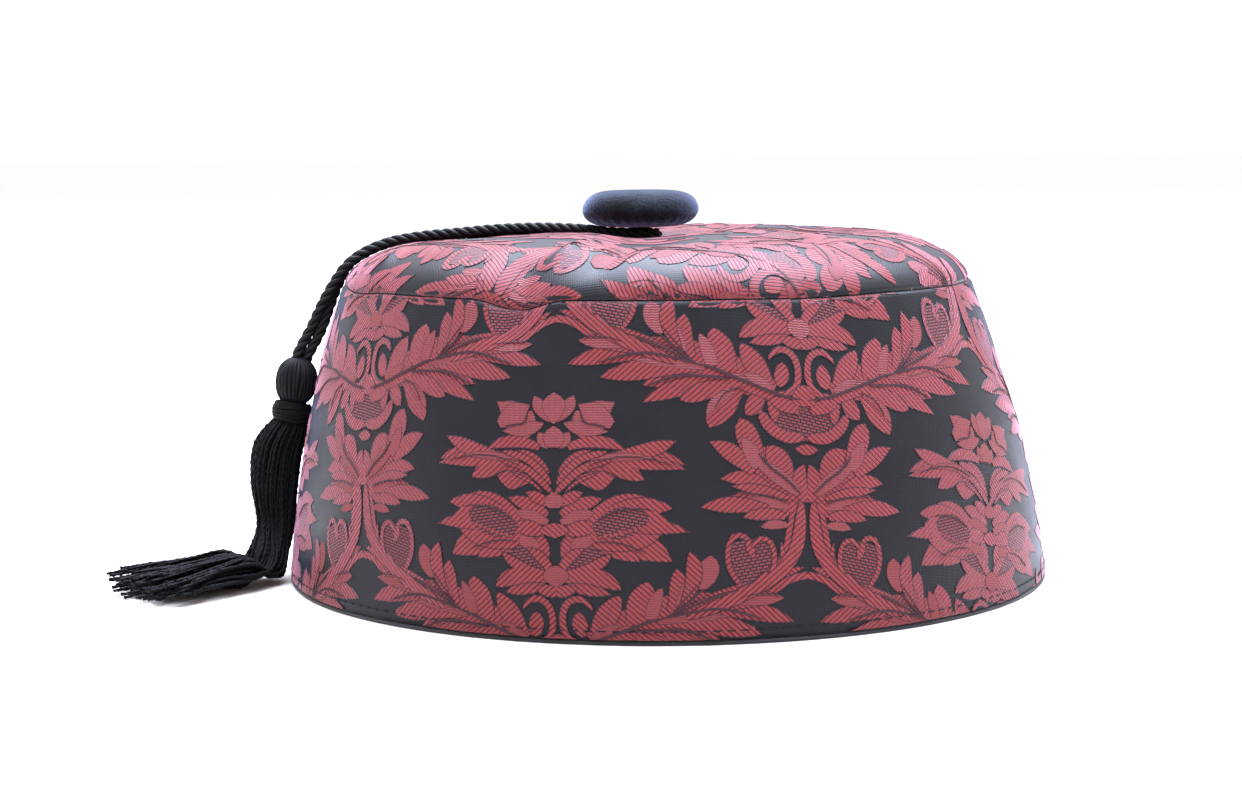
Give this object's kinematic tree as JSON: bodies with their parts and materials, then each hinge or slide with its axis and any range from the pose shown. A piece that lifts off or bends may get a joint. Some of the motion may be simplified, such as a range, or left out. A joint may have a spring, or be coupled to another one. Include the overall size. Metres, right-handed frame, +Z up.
{
  "type": "smoking cap",
  "caption": "Low flared smoking cap of figured brocade with a soft domed top, a covered button, and a doubled cord with a tassel.",
  "frame": {"origin": "centre of the head opening, on the surface that the cap rests on", "axes": "+Z up through the crown, +X towards the side away from the tassel, -Y towards the viewer"},
  "size_m": [0.2325, 0.19, 0.0962],
  "materials": {
    "brocade": "rose and black figured brocade with a satin ground",
    "black_cloth": "matt black edge binding",
    "velvet": "black velvet",
    "rayon": "lustrous black twisted thread"
  },
  "bodies": {
    "root": {"side_band": "brocade", "crown_tip": "brocade", "edge_binding": "black_cloth", "button": "velvet", "button_shank": "rayon", "cord_front": "rayon", "cord_back": "rayon", "tassel": "rayon", "tassel_binding": "rayon"}
  },
  "joints": []
}
